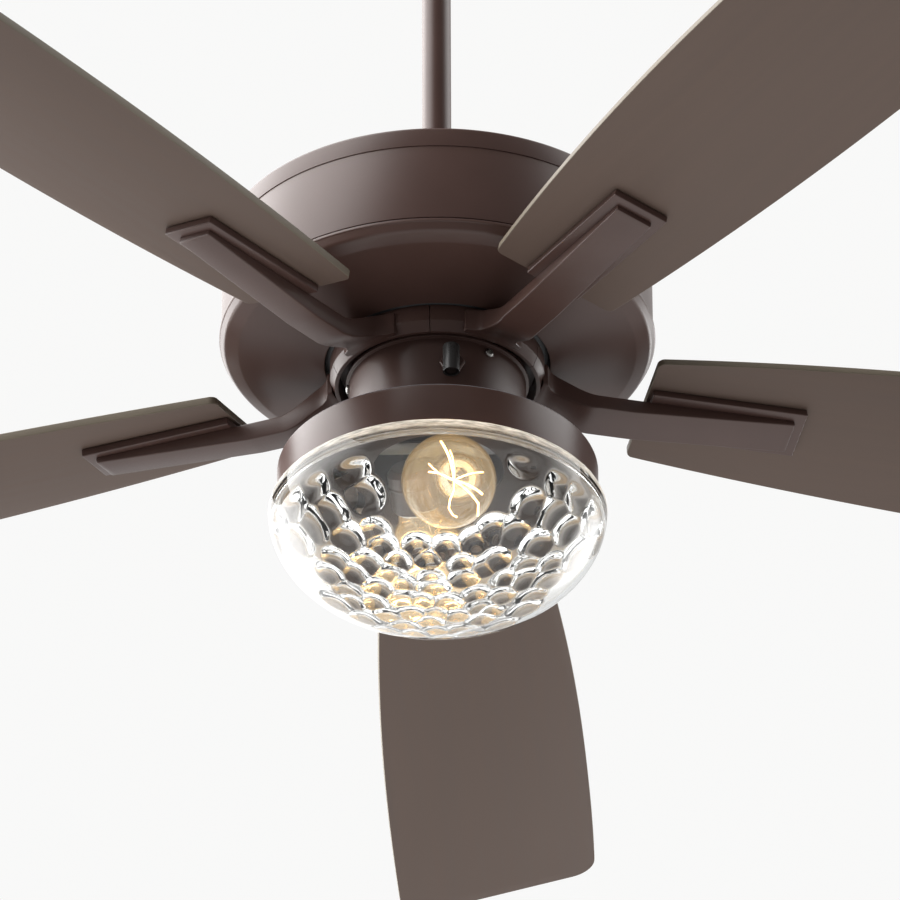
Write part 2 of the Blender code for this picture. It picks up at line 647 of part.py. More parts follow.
def glass_bowl():
    inner_r, inner_depth = BOWL_R - BOWL_WALL, BOWL_DEPTH - BOWL_WALL
    inside = [(0, BOWL_CENTRE - inner_depth)] + arc(0, BOWL_CENTRE, inner_r, inner_depth, -80, -14, 5)
    inside += millimetres((98.6, -106), (95, -100)) + [(NECK_R - 4 * MM, NECK_TOP)]
    outside = [(NECK_R, NECK_TOP), (NECK_R, -95.1 * MM)]
    outside += millimetres((101.8, -95.3), (105.6, -96.2), (107.4, -98))
    outside += arc(0, BOWL_CENTRE, BOWL_R, BOWL_DEPTH, -3, -81, 6) + [(0, BOWL_CENTRE - BOWL_DEPTH)]
    bowl = turned("glass_bowl", inside + outside, CLEAR, closed=False)
    for index in range(TWIST_TABS):
        turn = Matrix.Rotation(2 * math.pi * index / TWIST_TABS + math.radians(30), 4, "Z")
        lug = box(
            f"glass_lug_{index}", (97.5 * MM, -7 * MM, -90.5 * MM), (100.3 * MM, 7 * MM, -87 * MM),
            None, FAN_AXIS, CUTTERS, turn,
        )
        boolean(bowl, lug, "UNION")
        box(
            f"twist_tab_{index + 1}", (99.4 * MM, -6 * MM, -93.4 * MM), (100.3 * MM, 6 * MM, -90.9 * MM),
            STEEL, turn=turn,
        )


ceiling_hanger()
hanging_stem()
motor_housing()
motor()
blades()
switch_housing()
lamp_kit()
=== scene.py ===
"""Looks of the ceiling fan with a light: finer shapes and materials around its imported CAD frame."""

import json
import math
import random

import bmesh
import bpy
from mathutils import Matrix, Vector
from mathutils.kdtree import KDTree


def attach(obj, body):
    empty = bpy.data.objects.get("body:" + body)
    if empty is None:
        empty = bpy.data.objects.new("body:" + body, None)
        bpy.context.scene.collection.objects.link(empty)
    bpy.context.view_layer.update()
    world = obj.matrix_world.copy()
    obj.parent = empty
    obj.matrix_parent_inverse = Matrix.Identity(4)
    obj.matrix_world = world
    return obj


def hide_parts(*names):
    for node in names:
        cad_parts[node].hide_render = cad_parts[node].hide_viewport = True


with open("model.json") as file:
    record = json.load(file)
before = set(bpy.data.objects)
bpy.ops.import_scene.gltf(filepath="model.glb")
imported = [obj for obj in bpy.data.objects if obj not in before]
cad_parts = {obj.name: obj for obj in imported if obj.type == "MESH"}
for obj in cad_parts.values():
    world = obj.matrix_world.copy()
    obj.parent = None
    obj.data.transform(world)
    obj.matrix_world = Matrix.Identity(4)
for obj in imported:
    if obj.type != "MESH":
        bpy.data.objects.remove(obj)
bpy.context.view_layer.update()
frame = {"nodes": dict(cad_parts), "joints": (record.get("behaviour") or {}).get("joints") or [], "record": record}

MM = 0.001
JOINTS = {joint["name"]: joint for joint in frame["joints"]}
PLANE = JOINTS["rotor_spin"]["pos_m"][2]        # the blades' underside at the axis
BALL_CENTRE = JOINTS["stem_tilt"]["pos_m"][2]
FAN = Matrix.Translation((0, 0, PLANE))
BALL = Matrix.Translation((0, 0, BALL_CENTRE))

# Shared with the CAD parts
BLADES, BLADE_PHASE, PITCH = 5, math.radians(14.0), math.radians(-11.2)
TIP_R, ROOT_R, BLADE_T = 660.4 * MM, 136.5 * MM, 5 * MM
LOW_EDGE = (44.7 * MM, 73.3 * MM, 0.93)         # half width at the root, at the widest, and where that is
HIGH_EDGE = (42.5 * MM, 68.3 * MM, 0.72)
EDGE_POWER, TIP_SKEW, ROOT_CORNER, TIP_CORNER = 2.25, 0.0636, 5 * MM, 18 * MM
PAD_START, PAD_END, PAD_HALF, PAD_T, GAP = 138.5 * MM, 241.5 * MM, 19.5 * MM, 5.3 * MM, 0.3 * MM
ARM_END, ARM_HALF, ARM_FILLET = 234.5 * MM, 12.8 * MM, 8 * MM
RING_OUT, RING_IN = 69 * MM, 63.4 * MM
RING_SEGMENT = math.radians(360 / BLADES) - 0.5 * MM / RING_OUT
PULL_X, PULL_Z, PULL_HEADING, GUIDE_DISTANCE = 13.7 * MM, -24 * MM, math.radians(-4), 69.7 * MM
SCREW_AZIMUTHS, SCREW_Z = [math.radians(a) for a in (35, 155, -85)], -8.6 * MM
BOWL_R, BOWL_DEPTH, BOWL_CENTRE = 108 * MM, 68.7 * MM, -99 * MM
PANE_TURN, PANE_STEP = math.radians(-88), 2 * math.pi / 3
PANE_HALF, PANE_LOW = math.radians(27), math.radians(-50)
LAMP_TIP, LAMP_CENTRE, LAMP_R = Vector((17, 1, -71)) * MM, Vector((7, -50, -107)) * MM, 30 * MM

# Facets
ROUND, MEDIUM, SMALL = 160, 72, 40


# ---------------------------------------------------------------- materials

def new_material(name):
    made = bpy.data.materials.new(name)
    made.use_nodes = True
    return made, made.node_tree, made.node_tree.nodes["Principled BSDF"]


def link(tree, output, target):
    tree.links.new(output, target)


def place_node(tree, stretch=(1, 1, 1), attribute=None):
    """Coordinates in metres from the object, or from a stored attribute, stretched."""
    if attribute:
        source = tree.nodes.new("ShaderNodeAttribute")
        source.attribute_name = attribute
        vector = source.outputs["Vector"]
    else:
        vector = tree.nodes.new("ShaderNodeTexCoord").outputs["Object"]
    mapping = tree.nodes.new("ShaderNodeMapping")
    mapping.inputs["Scale"].default_value = stretch
    link(tree, vector, mapping.inputs["Vector"])
    return mapping.outputs["Vector"]


def noise(tree, vector, scale, detail=3.0):
    made = tree.nodes.new("ShaderNodeTexNoise")
    made.inputs["Scale"].default_value = scale
    made.inputs["Detail"].default_value = detail
    link(tree, vector, made.inputs["Vector"])
    return made.outputs["Fac"]


def spread(tree, value, low, high, start=0.3, end=0.7):
    """Maps a value's middle range onto another range."""
    made = tree.nodes.new("ShaderNodeMapRange")
    for name, number in (("From Min", start), ("From Max", end), ("To Min", low), ("To Max", high)):
        made.inputs[name].default_value = number
    link(tree, value, made.inputs["Value"])
    return made.outputs["Result"]


def colours(tree, value, *stops):
    """A colour ramp of (position, colour) stops."""
    made = tree.nodes.new("ShaderNodeValToRGB")
    ramp = made.color_ramp
    while len(ramp.elements) < len(stops):
        ramp.elements.new(0.5)
    for element, (position, colour) in zip(ramp.elements, stops):
        element.position = position
        element.color = (*colour, 1.0)
    link(tree, value, made.inputs["Fac"])
    return made.outputs["Color"]


def blended(tree, share, first, second):
    """One colour turning into another as a share goes from 0 to 1; the second may be a constant."""
    made = tree.nodes.new("ShaderNodeMix")
    made.data_type = "RGBA"
    link(tree, share, made.inputs["Factor"])
    link(tree, first, made.inputs["A"])
    if isinstance(second, tuple):
        made.inputs["B"].default_value = (*second, 1.0)
    else:
        link(tree, second, made.inputs["B"])
    return made.outputs["Result"]


def bump(tree, shader, height, strength, distance):
    made = tree.nodes.new("ShaderNodeBump")
    made.inputs["Strength"].default_value = strength
    made.inputs["Distance"].default_value = distance
    link(tree, height, made.inputs["Height"])
    link(tree, made.outputs["Normal"], shader.inputs["Normal"])


def finish_material(
    name, dark, light, rough, grain, metallic=0.0, strength=0.1, depth=0.0001, stretch=(1, 1, 1)
):
    """A surface whose colour drifts between two tones, with a fine grain in its roughness and relief."""
    made, tree, shader = new_material(name)
    where = place_node(tree, stretch)
    drift = noise(tree, where, grain * 0.03, 4.0)
    fine = noise(tree, where, grain, 2.0)
    link(tree, colours(tree, drift, (0.3, dark), (0.7, light)), shader.inputs["Base Color"])
    link(tree, spread(tree, fine, rough[0], rough[1]), shader.inputs["Roughness"])
    shader.inputs["Metallic"].default_value = metallic
    bump(tree, shader, fine, strength, depth)
    return made


def bronze_material():
    """Satin bronze paint with a fine orange peel; a lining is grey zinc, turning near black inwards as painted
    shade.
    """
    made, tree, shader = new_material("bronze_paint")
    where = place_node(tree)
    drift = noise(tree, where, 22.0, 4.0)
    peel = noise(tree, where, 900.0, 2.0)
    tone = colours(tree, drift, (0.3, (0.082, 0.044, 0.036)), (0.7, (0.094, 0.051, 0.042)))
    lining_and_shade = tree.nodes.new("ShaderNodeAttribute")
    lining_and_shade.attribute_name = "lining_and_shade"
    inside = lining_and_shade.outputs["Fac"]
    zinc = blended(tree, spread(tree, inside, 0, 1, 0, 0.5), tone, (0.39, 0.405, 0.44))
    # painted shade: past half the lining share, the grey zinc is darkened to near black, shade painted into the
    # pan's inside
    lined_and_shaded = blended(tree, spread(tree, inside, 0, 1, 0.5, 1), zinc, (0.026, 0.020, 0.019))
    link(tree, lined_and_shaded, shader.inputs["Base Color"])
    gloss = tree.nodes.new("ShaderNodeMath")
    gloss.operation = "MULTIPLY_ADD"
    link(tree, inside, gloss.inputs[0])
    gloss.inputs[1].default_value = 0.5
    link(tree, spread(tree, peel, 0.32, 0.38), gloss.inputs[2])
    link(tree, gloss.outputs[0], shader.inputs["Roughness"])
    link(tree, spread(tree, inside, 0.45, 0.12, 0, 1), shader.inputs["Specular IOR Level"])
    bump(tree, shader, peel, 0.06, 0.0002)
    return made


def blade_material():
    """Matte brown laminate with a faint grain along the blade."""
    made, tree, shader = new_material("blade_laminate")
    along = place_node(tree, (5, 130, 40), "blade_place")
    grain = noise(tree, along, 1.0, 5.0)
    drift = noise(tree, place_node(tree, (2, 6, 2), "blade_place"), 1.0, 3.0)
    mixed = tree.nodes.new("ShaderNodeMix")
    mixed.data_type = "FLOAT"
    mixed.inputs[0].default_value = 0.45
    link(tree, grain, mixed.inputs[2])
    link(tree, drift, mixed.inputs[3])
    tone = colours(
        tree, mixed.outputs[0],
        (0.32, (0.109, 0.072, 0.056)), (0.5, (0.120, 0.080, 0.062)), (0.68, (0.131, 0.088, 0.069)),
    )
    edge = tree.nodes.new("ShaderNodeAttribute")
    edge.attribute_name = "blade_edge"
    banding = colours(tree, grain, (0.3, (0.145, 0.118, 0.085)), (0.7, (0.175, 0.142, 0.102)))
    link(tree, blended(tree, edge.outputs["Fac"], tone, banding), shader.inputs["Base Color"])
    link(tree, spread(tree, grain, 0.52, 0.62), shader.inputs["Roughness"])
    shader.inputs["Specular IOR Level"].default_value = 0.4
    bump(tree, shader, grain, 0.08, 0.0002)
    return made


def glass_material(name, tint, ior=1.5, roughness=0.0, ripple=0.0, glow=0.0):
    """Clear glass that lets direct light through, with faint ripples, a drifting tint and a warm glow."""
    made, tree, shader = new_material(name)
    where = place_node(tree)
    drift = noise(tree, where, 30.0, 2.0)
    pale = tuple(min(1.0, c + 0.015) for c in tint)
    tone = colours(tree, drift, (0.3, tint), (0.7, pale))
    link(tree, tone, shader.inputs["Base Color"])
    shader.inputs["Transmission Weight"].default_value = 1.0
    shader.inputs["Emission Color"].default_value = (1.0, 0.65, 0.25, 1)
    shader.inputs["Emission Strength"].default_value = glow
    shader.inputs["IOR"].default_value = ior
    shader.inputs["Roughness"].default_value = roughness
    bump(tree, shader, noise(tree, where, 90.0, 1.0), ripple, 0.0006)
    clear = tree.nodes.new("ShaderNodeBsdfTransparent")
    clear.inputs["Color"].default_value = (0.92, 0.93, 0.92, 1)
    mixed = tree.nodes.new("ShaderNodeMixShader")
    paths = tree.nodes.new("ShaderNodeLightPath")
    plain = tree.nodes.new("ShaderNodeMath")
    plain.operation = "MAXIMUM"
    link(tree, paths.outputs["Is Shadow Ray"], plain.inputs[0])
    link(tree, paths.outputs["Is Diffuse Ray"], plain.inputs[1])
    link(tree, plain.outputs[0], mixed.inputs["Fac"])
    link(tree, shader.outputs["BSDF"], mixed.inputs[1])
    link(tree, clear.outputs["BSDF"], mixed.inputs[2])
    link(tree, mixed.outputs["Shader"], tree.nodes["Material Output"].inputs["Surface"])
    return made


def bowl_material():
    """The bowl's clear glass; its rim is ground, so it scatters the light that reaches it."""
    made = glass_material("hammered_glass", (0.965, 0.975, 0.975), 1.5, 0.0, 0.08)
    tree = made.node_tree
    tree.nodes["Principled BSDF"].inputs["Specular IOR Level"].default_value = 0.3
    output = tree.nodes["Material Output"].inputs["Surface"]
    clear = output.links[0].from_socket
    where = place_node(tree, (1, 1, 6))
    streaks = noise(tree, where, 120.0, 3.0)
    pale = colours(tree, streaks, (0.3, (0.76, 0.77, 0.78)), (0.7, (0.95, 0.95, 0.94)))
    through = tree.nodes.new("ShaderNodeBsdfTranslucent")
    back = tree.nodes.new("ShaderNodeBsdfDiffuse")
    frost = tree.nodes.new("ShaderNodeMixShader")
    frost.inputs["Fac"].default_value = 0.5
    for index, shader in enumerate((through, back), 1):
        link(tree, pale, shader.inputs["Color"])
        link(tree, shader.outputs["BSDF"], frost.inputs[index])
    ground = tree.nodes.new("ShaderNodeAttribute")
    ground.attribute_name = "ground_rim"
    share = tree.nodes.new("ShaderNodeMath")
    share.operation = "MULTIPLY"
    link(tree, ground.outputs["Fac"], share.inputs[0])
    link(tree, spread(tree, streaks, 0.45, 0.9), share.inputs[1])
    mixed = tree.nodes.new("ShaderNodeMixShader")
    link(tree, share.outputs[0], mixed.inputs["Fac"])
    link(tree, clear, mixed.inputs[1])
    link(tree, frost.outputs["Shader"], mixed.inputs[2])
    link(tree, mixed.outputs["Shader"], output)
    return made


def filament_material():
    """A glowing wire, whiter where it is hottest."""
    made, tree, shader = new_material("filament_glow")
    heat = noise(tree, place_node(tree), 160.0, 2.0)
    tone = colours(tree, heat, (0.3, (1.0, 0.52, 0.16)), (0.7, (1.0, 0.72, 0.36)))
    shader.inputs["Base Color"].default_value = (0.1, 0.05, 0.02, 1)
    link(tree, tone, shader.inputs["Emission Color"])
    link(tree, spread(tree, heat, 6.0, 10.0), shader.inputs["Emission Strength"])
    return made


def striped_material(name, dark, light, rough, metallic, per_metre):
    """Wire or stacked sheets: fine even lines round the axis."""
    made, tree, shader = new_material(name)
    wave = tree.nodes.new("ShaderNodeTexWave")
    wave.bands_direction = "Z"
    wave.inputs["Scale"].default_value = per_metre
    wave.inputs["Distortion"].default_value = 0.4
    link(tree, place_node(tree), wave.inputs["Vector"])
    link(tree, colours(tree, wave.outputs["Fac"], (0.2, dark), (0.8, light)), shader.inputs["Base Color"])
    link(tree, spread(tree, wave.outputs["Fac"], rough[0], rough[1], 0, 1), shader.inputs["Roughness"])
    shader.inputs["Metallic"].default_value = metallic
    bump(tree, shader, wave.outputs["Fac"], 0.4, 0.0003)
    return made


BRONZE = bronze_material()
BLADE = blade_material()
STEEL = finish_material(
    "plated_steel", (0.50, 0.49, 0.47), (0.66, 0.65, 0.62), (0.22, 0.34), 1800, 1.0, 0.08, stretch=(1, 1, 0.2)
)
DARK_STEEL = finish_material(
    "dark_steel", (0.13, 0.13, 0.135), (0.20, 0.20, 0.21), (0.35, 0.5), 900, 0.9, 0.15
)
# painted shade: a dark painted rotor casting, made near black so the gap between dish and ring reads as shaded
SHADED_ROTOR_CASTING = finish_material(
    "rotor_aluminium", (0.035, 0.035, 0.037), (0.055, 0.055, 0.058), (0.5, 0.65), 700, 0.0, 0.25
)
COPPER = striped_material("copper_winding", (0.42, 0.17, 0.08), (0.75, 0.36, 0.19), (0.3, 0.45), 1.0, 160)
LAMINATIONS = striped_material(
    "stator_laminations", (0.12, 0.12, 0.125), (0.26, 0.26, 0.27), (0.35, 0.5), 0.9, 320
)
BLACK = finish_material(
    "black_plastic", (0.030, 0.029, 0.029), (0.042, 0.040, 0.040), (0.26, 0.36), 700, 0.0, 0.05
)
HOLDER = finish_material(
    "lamp_holder", (0.050, 0.034, 0.026), (0.070, 0.047, 0.035), (0.3, 0.42), 500, 0.0, 0.08
)
BOWL_GLASS = bowl_material()
LAMP_GLASS = glass_material("lamp_glass", (1.0, 0.93, 0.80), 1.45, 0.0, 0.02, 0.06)
STEM_GLASS = glass_material("lamp_stem_glass", (0.96, 0.965, 0.96), 1.5, 0.05, 0.1)
FILAMENT = filament_material()
SLOT_LOOKS = {
    "bronze_paint": BRONZE, "blade_laminate": BLADE, "plated_steel": STEEL, "dark_steel": DARK_STEEL,
    "copper_winding": COPPER, "rotor_aluminium": SHADED_ROTOR_CASTING, "black_plastic": BLACK, "lamp_holder": HOLDER,
    "lamp_glass": LAMP_GLASS, "bowl_glass": BOWL_GLASS,
}


# ---------------------------------------------------------------- shape helpers

class Shape:
    """Vertices and faces collected from several closed shells."""

    def __init__(self):
        self.verts, self.faces = [], []

    def add(self, shell, matrix=None):
        verts, faces = shell
        start = len(self.verts)
        self.verts += [matrix @ Vector(v) if matrix else Vector(v) for v in verts]
        self.faces += [tuple(start + i for i in face) for face in faces]
        return self


def piece(name, shape, look, body, nodes=(), matrix=None, sharp=32):
    """One visible piece: its mesh and look, the body it rides on, the CAD nodes it stands for."""
    mesh = bpy.data.meshes.new(name)
    mesh.from_pydata([tuple(v) for v in shape.verts], [], shape.faces)
    if matrix:
        mesh.transform(matrix)
    form = bmesh.new()
    form.from_mesh(mesh)
    bmesh.ops.recalc_face_normals(form, faces=form.faces)
    form.to_mesh(mesh)
    form.free()
    mesh.materials.append(look)
    mesh.shade_smooth()
    mesh.set_sharp_from_angle(angle=math.radians(sharp))
    made = bpy.data.objects.new(name, mesh)
    bpy.context.scene.collection.objects.link(made)
    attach(made, body)
    if nodes:
        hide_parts(*nodes)
    return made


def store(made, name, kind, values):
    """Keeps one value per vertex with the mesh, for its material."""
    attribute = made.data.attributes.new(name, kind, "POINT")
    for item, value in zip(attribute.data, values):
        if kind == "FLOAT":
            item.value = value
        else:
            item.vector = value


def arc(centre_r, centre_z, radius_r, radius_z, start, end, steps):
    angles = [math.radians(start + (end - start) * i / steps) for i in range(steps + 1)]
    return [(centre_r + radius_r * math.cos(a), centre_z + radius_z * math.sin(a)) for a in angles]


def millimetres(points):
    return [(r * MM, z * MM) for r, z in points]


def circle(radius, z, facets):
    angles = [2 * math.pi * i / facets for i in range(facets)]
    return [(radius * math.cos(a), radius * math.sin(a), z) for a in angles]


def rounded(corners, steps=4, closed=True, scale=MM):
    """A profile from (radius, height, fillet) corners in millimetres, each rounded by its fillet."""
    points = []
    count = len(corners)
    for i, (x, y, fillet) in enumerate(corners):
        here = Vector((x, y))
        if fillet <= 0 or (not closed and i in (0, count - 1)):
            points.append(here * scale)
            continue
        before = (Vector(corners[i - 1][:2]) - here).normalized()
        after = (Vector(corners[(i + 1) % count][:2]) - here).normalized()
        half = before.angle(after) / 2
        reach = fillet / math.tan(half)
        centre = here + (before + after).normalized() * fillet / math.sin(half)
        start = here + before * reach - centre
        sweep = start.angle_signed(here + after * reach - centre)
        turns = [Matrix.Rotation(-sweep * k / steps, 2) for k in range(steps + 1)]
        points += [(centre + turn @ start) * scale for turn in turns]
    return [tuple(p) for p in points]


def turned(profile, facets=ROUND, closed=True):
    """A shell of revolution about Z. Profile points on the axis become poles."""
    verts, rings = [], []
    for r, z in profile:
        if r < 1e-7:
            rings.append([len(verts)] * facets)
            verts.append((0, 0, z))
            continue
        rings.append([len(verts) + i for i in range(facets)])
        verts += circle(r, z, facets)
    faces = []
    pairs = list(zip(rings, rings[1:]))
    if closed:
        pairs.append((rings[-1], rings[0]))
    for upper, lower in pairs:
        for i in range(facets):
            j = (i + 1) % facets
            corners = [upper[i], lower[i], lower[j], upper[j]]
            face = tuple(dict.fromkeys(corners))
            if len(face) > 2:
                faces.append(face)
    return verts, faces


def loft(rows):
    """A closed shell through rows of matching points, capped at both ends."""
    verts = [v for row in rows for v in row]
    width = len(rows[0])
    faces = []
    for k in range(len(rows) - 1):
        for i in range(width):
            j = (i + 1) % width
            faces.append((k * width + i, k * width + j, (k + 1) * width + j, (k + 1) * width + i))
    faces.append(tuple(range(width)))
    faces.append(tuple(range((len(rows) - 1) * width, len(rows) * width)))
    return verts, faces


def rounded_box(low, high, radius, segments=3):
    form = bmesh.new()
    size, centre = Vector(high) - Vector(low), (Vector(high) + Vector(low)) / 2
    bmesh.ops.create_cube(form, size=1.0, matrix=Matrix.Translation(centre) @ Matrix.Diagonal((*size, 1.0)))
    bmesh.ops.bevel(form, geom=form.edges[:], offset=radius, segments=segments, affect="EDGES", profile=0.5)
    form.verts.index_update()
    shell = [v.co.copy() for v in form.verts], [tuple(v.index for v in f.verts) for f in form.faces]
    form.free()
    return shell


def tube(points, radius, sides=12):
    """A round bar along points, with flat ends."""
    points = [Vector(p) for p in points]
    rows, side = [], None
    for i, point in enumerate(points):
        ahead = (points[min(i + 1, len(points) - 1)] - points[max(i - 1, 0)]).normalized()
        if side is None:
            side = ahead.orthogonal().normalized()
        side = (side - ahead * side.dot(ahead)).normalized()
        other = ahead.cross(side)
        angles = [2 * math.pi * k / sides for k in range(sides)]
        rows.append([point + radius * (math.cos(a) * side + math.sin(a) * other) for a in angles])
    return loft(rows)


def polar(radius, azimuth, z):
    """A point at an azimuth counted from -Y towards +X."""
    return Vector((radius * math.sin(azimuth), -radius * math.cos(azimuth), z))


def facing(point, direction):
    """A matrix that puts +Z along a direction at a point."""
    return Matrix.Translation(point) @ Vector(direction).to_track_quat("Z", "Y").to_matrix().to_4x4()


def smoothstep(value, start, end):
    t = min(max((value - start) / (end - start), 0.0), 1.0)
    return t * t * (3 - 2 * t)


def screw_mesh(radius, height, shank_r, shank):
    """A pan-head screw with a cross recess, head up, its seat at z 0."""
    head = rounded([
        (radius, 0, 0), (radius, height * 0.55, height * 0.25),
        (radius * 0.62, height, height * 0.3), (0, height, 0),
    ], 4, False, 1)
    below = [(0, -shank), (shank_r * 0.7, -shank), (shank_r, -shank + shank_r * 0.5), (shank_r, 0)]
    verts, faces = turned(below + head, 32, closed=False)
    mesh = bpy.data.meshes.new("screw")
    mesh.from_pydata(verts, [], faces)
    body = bpy.data.objects.new("screw_blank", mesh)
    bpy.context.scene.collection.objects.link(body)
    arm, width, depth = radius * 0.58, radius * 0.13, height * 0.75
    cutters = []
    for x, y in ((arm, width), (width, arm)):
        verts, faces = rounded_box((-x, -y, height - depth), (x, y, height * 2), width * 0.4, 2)
        cut_mesh = bpy.data.meshes.new("cross")
        cut_mesh.from_pydata([tuple(v) for v in verts], [], faces)
        cutter = bpy.data.objects.new("cross", cut_mesh)
        bpy.context.scene.collection.objects.link(cutter)
        step = body.modifiers.new("cross", "BOOLEAN")
        step.operation, step.object, step.solver = "DIFFERENCE", cutter, "EXACT"
        cutters.append(cutter)
    result = bpy.data.meshes.new_from_object(body.evaluated_get(bpy.context.evaluated_depsgraph_get()))
    shell = [v.co.copy() for v in result.vertices], [tuple(p.vertices) for p in result.polygons]
    for used in (body, *cutters):
        bpy.data.objects.remove(used, do_unlink=True)
    return shell


# ---------------------------------------------------------------- hanger

def ceiling_hanger():
    """The canopy with its two screws, and the ball in its seat under the bracket."""
    dome = arc(30, -18, 40, 52, 0, -90, 28)
    lining_and_shade = arc(30, -18, 38.8, 50.8, -90, 0, 28)
    hole_edge = [(19, -70.9), (18.2, -70.5), (18.2, -70.1), (19, -69.7)]
    shape = Shape().add(turned(millimetres([(70, -0.4)] + dome + hole_edge + lining_and_shade + [(68.8, -0.4)])))
    piece("canopy_shell", shape, BRONZE, "ceiling_mount", ["canopy"])
    head = screw_mesh(4.2 * MM, 2.4 * MM, 2 * MM, 10 * MM)
    for number, side in ((1, -1), (2, 1)):
        shape = Shape().add(head, facing((side * 70.4 * MM, 0, -9 * MM), (side, 0, 0)))
        piece(
            f"canopy_cross_screw_{number}", shape, STEEL, "ceiling_mount", [f"canopy_screw_{number}"],
        )
    inner, outer = 24.5, 26.3
    seat = arc(0, 0, outer, outer, -12, -48, 12) + arc(0, 0, inner, inner, -48, -12, 12)
    shape = Shape().add(turned(millimetres(seat), MEDIUM))
    piece("seat_ring", shape, BLACK, "hanger_seat", ["hanger_seat"], BALL)
    ball = [(9.9, 10)] + arc(0, 0, 24, 24, math.degrees(math.asin(10 / 24)), -65.6, 24)
    shape = Shape().add(turned(millimetres(ball), MEDIUM))
    piece("ball", shape, DARK_STEEL, "stem", ["hanger_ball"], BALL)


def stem():
    """The downrod, and the bell that covers the coupling."""
    top = 426.3
    profile = rounded([(7.9, top, 0.4), (9.525, top, 0.4), (9.525, 121.3, 0.4), (7.9, 121.3, 0.4)])
    piece("rod_tube", Shape().add(turned(profile, MEDIUM)), BRONZE, "stem", ["downrod"], FAN)
    outside = [(10.6, 162)] + arc(15, 128, 21, 34, 90, 0, 24)
    inside = arc(15, 128, 19.8, 32.8, 0, 90, 24) + [(10.6, 160.8)]
    hem = [(36, 113.8), (35.6, 113.4), (35.2, 113.4), (34.8, 113.8)]
    shape = Shape().add(turned(millimetres(outside + hem + inside), MEDIUM))
    piece("coupling_bell", shape, BRONZE, "coupling_cover", ["coupling_cover"], FAN)


# ---------------------------------------------------------------- motor housing

def motor_housing():
    """The drum's three sheet-metal pieces, with their rolled rims."""
    lid = rounded([
        (22, 112.6, 0.5), (60, 111.8, 40), (118, 106.8, 30), (139.5, 102.3, 2.6), (139.5, 88.5, 0.15),
        (138.3, 88.5, 0.4), (138.3, 101.2, 1.6), (118, 105.3, 30), (60, 110.3, 40), (22, 111, 0.5),
    ], 6)
    piece("drum_lid", Shape().add(turned(lid)), BRONZE, "stem", ["housing_lid"], FAN)
    band = rounded([(139, 88.4, 0.1), (139, 33.9, 0.4), (137.8, 33.9, 0.4), (137.8, 88.4, 0.1)])
    piece("drum_band", Shape().add(turned(band)), BRONZE, "stem", ["housing_band"], FAN)
    dish = rounded([
        (137.6, 32.5, 0.3), (140.4, 32.5, 0.6), (140.4, 30.6, 0.5), (139.7, 29.9, 0.3), (137.4, 25.0, 4),
        (128, 21.7, 9), (72.4, 12.5, 0.6), (72.4, 13.9, 0.5), (127.6, 23.2, 8), (136.2, 26.6, 4),
        (137.6, 30, 1),
    ], 6)
    piece("drum_dish", Shape().add(turned(dish)), BRONZE, "stem", ["housing_dish"], FAN)


# ---------------------------------------------------------------- blades and irons

def arm_height(u):
    """Top and bottom of an iron's arm at a distance u from the axis."""
    top = 11 * MM - 16 * MM * smoothstep(u, 64 * MM, 106 * MM)
    drop = -4.5 * MM - 11.9 * MM * smoothstep(u, 64 * MM, 102 * MM)
    rise = 7.4 * MM * max((u - 128 * MM) / (ARM_END - 128 * MM), 0.0)
    return top, drop + rise


def arm_shell():
    """The arm: rectangular with softened edges, twisted to the blade's pitch as it leaves the ring."""
    rows = []
    start, edge = RING_IN + 1.5 * MM, 0.9 * MM
    steps = 56
    stations = [start + (ARM_END - edge - start) * i / steps for i in range(steps + 1)]
    stations += [ARM_END - edge * 0.3, ARM_END]
    for index, u in enumerate(stations):
        top, bottom = arm_height(u)
        inset = (0.0, edge * 0.3, edge)[max(index - steps, 0)]
        out = min(max(u - RING_OUT, 0), ARM_FILLET)
        half = ARM_HALF + ARM_FILLET - math.sqrt(ARM_FILLET**2 - (ARM_FILLET - out) ** 2) - inset
        roll = Matrix.Rotation(PITCH * min(max((u - 66 * MM) / (38 * MM), 0.0), 1.0), 3, "X")
        corners = [(half, top - inset), (half, bottom + inset), (-half, bottom + inset), (-half, top - inset)]
        row = []
        for k, (v, z) in enumerate(corners):
            away = (math.copysign(1, v), 1 if k in (0, 3) else -1)
            angles = [90 * k + 30 * s for s in range(4)]
            centre = (v - away[0] * edge, z - away[1] * edge)
            for angle in angles:
                a = math.radians(90 - angle)
                across = Vector((0, centre[0] + edge * math.cos(a), centre[1] + edge * math.sin(a)))
                row.append(roll @ across + Vector((u, 0, 0)))
        rows.append(row)
    return loft(rows)


def ring_shell():
    """One iron's share of the hub's ring, with the flange that is screwed to the rotor."""
    profile = rounded([
        (69, 14, 0.4), (69, 2.5, 1.2), (66, -4.5, 0.6), (63.4, -4.5, 0.6), (63.4, 10, 0.8), (42, 10, 0.6),
        (42, 14, 0.4),
    ])
    steps, rows = 36, []
    for i in range(steps + 1):
        turn = Matrix.Rotation(RING_SEGMENT * (i / steps - 0.5), 3, "Z")
        rows.append([turn @ Vector((r, 0, z)) for r, z in profile])
    return loft(rows)


def edge_half_width(s, edge):
    root, widest, station = edge
    return widest - (widest - root) * abs(1 - s / station) ** EDGE_POWER


